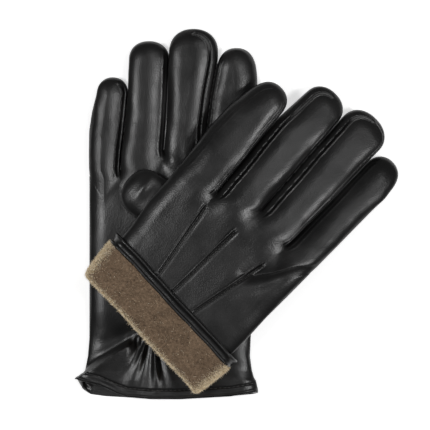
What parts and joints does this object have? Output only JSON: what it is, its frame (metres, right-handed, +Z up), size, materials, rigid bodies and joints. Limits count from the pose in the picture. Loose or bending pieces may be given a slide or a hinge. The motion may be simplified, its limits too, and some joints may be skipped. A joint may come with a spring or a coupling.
{
  "type": "pair of lined leather gloves",
  "caption": "Pair of lined leather dress gloves, one lying across the other, with hollow fingers that bend, swinging thumbs and a turned-back cuff.",
  "frame": {"origin": "on the floor under the middle of the pair's outline, seen from above", "axes": "+Z up; +Y along the right glove, from its hem to its fingertips; +X from that glove's little finger to its index finger"},
  "size_m": [0.2188, 0.2556, 0.0376],
  "materials": {
    "black_nappa": "smooth, softly polished",
    "cashmere_lining": "brushed knit",
    "elastic": "woven elastic tape",
    "black_thread": "waxed sewing thread"
  },
  "bodies": {
    "right_hand": {"right_palm_panel": "black_nappa", "right_back_panel": "black_nappa", "right_back_points": "black_nappa", "right_wrist_elastic": "elastic", "right_hand_lining": "cashmere_lining", "right_little_stall": "black_nappa", "right_ring_stall": "black_nappa", "right_middle_stall": "black_nappa", "right_index_stall": "black_nappa", "right_little_ring_fork": "black_nappa", "right_ring_middle_fork": "black_nappa", "right_middle_index_fork": "black_nappa", "right_hem_facing": "black_nappa", "right_hem_stitching": "black_thread"},
    "right_little_end": {"right_little_fingertip": "black_nappa", "right_little_tip_fourchettes": "black_nappa", "right_little_tip_lining": "cashmere_lining"},
    "right_ring_end": {"right_ring_fingertip": "black_nappa", "right_ring_tip_fourchettes": "black_nappa", "right_ring_tip_lining": "cashmere_lining"},
    "right_middle_end": {"right_middle_fingertip": "black_nappa", "right_middle_tip_fourchettes": "black_nappa", "right_middle_tip_lining": "cashmere_lining"},
    "right_index_end": {"right_index_fingertip": "black_nappa", "right_index_tip_fourchettes": "black_nappa", "right_index_tip_lining": "cashmere_lining"},
    "right_thumb_stall": {"right_thumb": "black_nappa", "right_thumb_lining": "cashmere_lining"},
    "left_hand": {"left_palm_panel": "black_nappa", "left_back_panel": "black_nappa", "left_back_points": "black_nappa", "left_wrist_elastic": "elastic", "left_hand_lining": "cashmere_lining", "left_little_stall": "black_nappa", "left_ring_stall": "black_nappa", "left_middle_stall": "black_nappa", "left_index_stall": "black_nappa", "left_little_ring_fork": "black_nappa", "left_ring_middle_fork": "black_nappa", "left_middle_index_fork": "black_nappa"},
    "left_little_end": {"left_little_fingertip": "black_nappa", "left_little_tip_fourchettes": "black_nappa", "left_little_tip_lining": "cashmere_lining"},
    "left_ring_end": {"left_ring_fingertip": "black_nappa", "left_ring_tip_fourchettes": "black_nappa", "left_ring_tip_lining": "cashmere_lining"},
    "left_middle_end": {"left_middle_fingertip": "black_nappa", "left_middle_tip_fourchettes": "black_nappa", "left_middle_tip_lining": "cashmere_lining"},
    "left_index_end": {"left_index_fingertip": "black_nappa", "left_index_tip_fourchettes": "black_nappa", "left_index_tip_lining": "cashmere_lining"},
    "left_thumb_stall": {"left_thumb": "black_nappa", "left_thumb_lining": "cashmere_lining"},
    "left_cuff_back": {"left_cuff_back_leather": "black_nappa", "left_cuff_back_lining": "cashmere_lining", "left_cuff_back_hem": "black_nappa"},
    "left_cuff_palm": {"left_cuff_palm_leather": "black_nappa", "left_cuff_palm_lining": "cashmere_lining", "left_cuff_palm_hem": "black_nappa"}
  },
  "joints": [
    {"name": "left_glove_lift", "type": "slide", "parent": "right_hand", "child": "left_hand", "axis": [0, 0, 1], "range_m": [0, 0.12]},
    {"name": "right_little_bend", "type": "hinge", "parent": "right_hand", "child": "right_little_end", "pos_m": [-0.08591, 0.06082, 0.01135], "axis": [0.9964, -0.0848, 0], "range_deg": [0, 75]},
    {"name": "right_ring_bend", "type": "hinge", "parent": "right_hand", "child": "right_ring_end", "pos_m": [-0.06043, 0.07286, 0.01135], "axis": [0.9987, -0.0507, 0], "range_deg": [0, 75]},
    {"name": "right_middle_bend", "type": "hinge", "parent": "right_hand", "child": "right_middle_end", "pos_m": [-0.03002, 0.07795, 0.01135], "axis": [0.9969, -0.0784, 0], "range_deg": [0, 75]},
    {"name": "right_index_bend", "type": "hinge", "parent": "right_hand", "child": "right_index_end", "pos_m": [0.00072, 0.09073, 0.01135], "axis": [0.9987, -0.0513, 0], "range_deg": [0, 60]},
    {"name": "left_little_bend", "type": "hinge", "parent": "left_hand", "child": "left_little_end", "pos_m": [0.00833, 0.06234, 0.03116], "axis": [0.7395, -0.6731, 0], "range_deg": [0, 45]},
    {"name": "left_ring_bend", "type": "hinge", "parent": "left_hand", "child": "left_ring_end", "pos_m": [0.03656, 0.04894, 0.01369], "axis": [-0.7501, 0.6613, 0], "range_deg": [0, 70]},
    {"name": "left_middle_bend", "type": "hinge", "parent": "left_hand", "child": "left_middle_end", "pos_m": [0.06214, 0.02838, 0.01247], "axis": [-0.7298, 0.6837, 0], "range_deg": [0, 70]},
    {"name": "left_index_bend", "type": "hinge", "parent": "left_hand", "child": "left_index_end", "pos_m": [0.07351, 0.00005, 0.01337], "axis": [-0.7222, 0.6917, 0], "range_deg": [0, 70]},
    {"name": "right_thumb_swing", "type": "hinge", "parent": "right_hand", "child": "right_thumb_stall", "pos_m": [-0.0086, -0.0278, 0.01735], "axis": [0, 0, -1], "range_deg": [0, 22]},
    {"name": "left_thumb_swing", "type": "hinge", "parent": "left_hand", "child": "left_thumb_stall", "pos_m": [0.00378, -0.05672, 0.0181], "axis": [0, 0, -1], "range_deg": [0, 55]},
    {"name": "left_cuff_unroll", "type": "hinge", "parent": "left_hand", "child": "left_cuff_back", "pos_m": [-0.06538, -0.0809, 0.0353], "axis": [0.7071, -0.7071, 0], "range_deg": [0, 170]},
    {"name": "left_cuff_palm_unroll", "type": "slide", "parent": "left_hand", "child": "left_cuff_palm", "axis": [-0.7071, -0.7071, 0], "range_m": [0, 0.034]}
  ],
  "couplings": [
    {"joint": "left_cuff_palm_unroll", "follows": "left_cuff_unroll", "m_per_rad": 0.01145}
  ]
}
